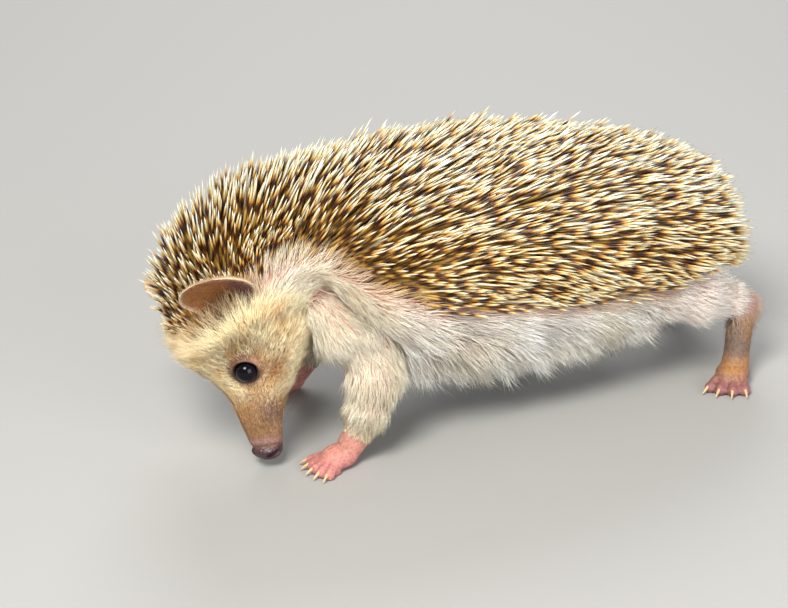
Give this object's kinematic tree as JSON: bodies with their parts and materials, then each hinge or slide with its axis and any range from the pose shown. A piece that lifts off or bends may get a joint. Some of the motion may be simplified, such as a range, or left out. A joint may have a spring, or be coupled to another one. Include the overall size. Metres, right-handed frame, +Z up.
{
  "type": "hedgehog",
  "caption": "Life-size hedgehog standing on its feet with its head hung down: spiny back, furred belly and face, bare snout, ears, legs and small tail.",
  "frame": {"origin": "on the floor, under the middle of the animal's outline", "axes": "+Z up, -X the way the animal faces, -Y its left side"},
  "size_m": [0.1948, 0.087, 0.0907],
  "materials": {
    "spines": "banded cream, golden brown and dark brown spines",
    "belly_fur": "long soft cream white fur",
    "face_fur": "short cream and pale gold fur",
    "bare_skin": "pink bare skin, fine grained",
    "snout_skin": "mauve brown skin with sparse short hair",
    "nose_skin": "dark moist nose skin",
    "ear_skin": "thin brown ear skin with a pale rim",
    "eye": "glossy black"
  },
  "bodies": {
    "root": {"back": "spines", "belly": "belly_fur", "nape": "spines", "throat": "belly_fur", "crown": "spines", "head": "face_fur", "snout": "snout_skin", "nose": "nose_skin", "tail": "bare_skin", "foreleg_left": "belly_fur", "hindleg_left": "belly_fur", "forefoot_left": "bare_skin", "hindfoot_left": "bare_skin", "ear_left": "ear_skin", "eye_left": "eye", "foreleg_right": "belly_fur", "hindleg_right": "belly_fur", "forefoot_right": "bare_skin", "hindfoot_right": "bare_skin", "ear_right": "ear_skin", "eye_right": "eye"}
  },
  "joints": []
}
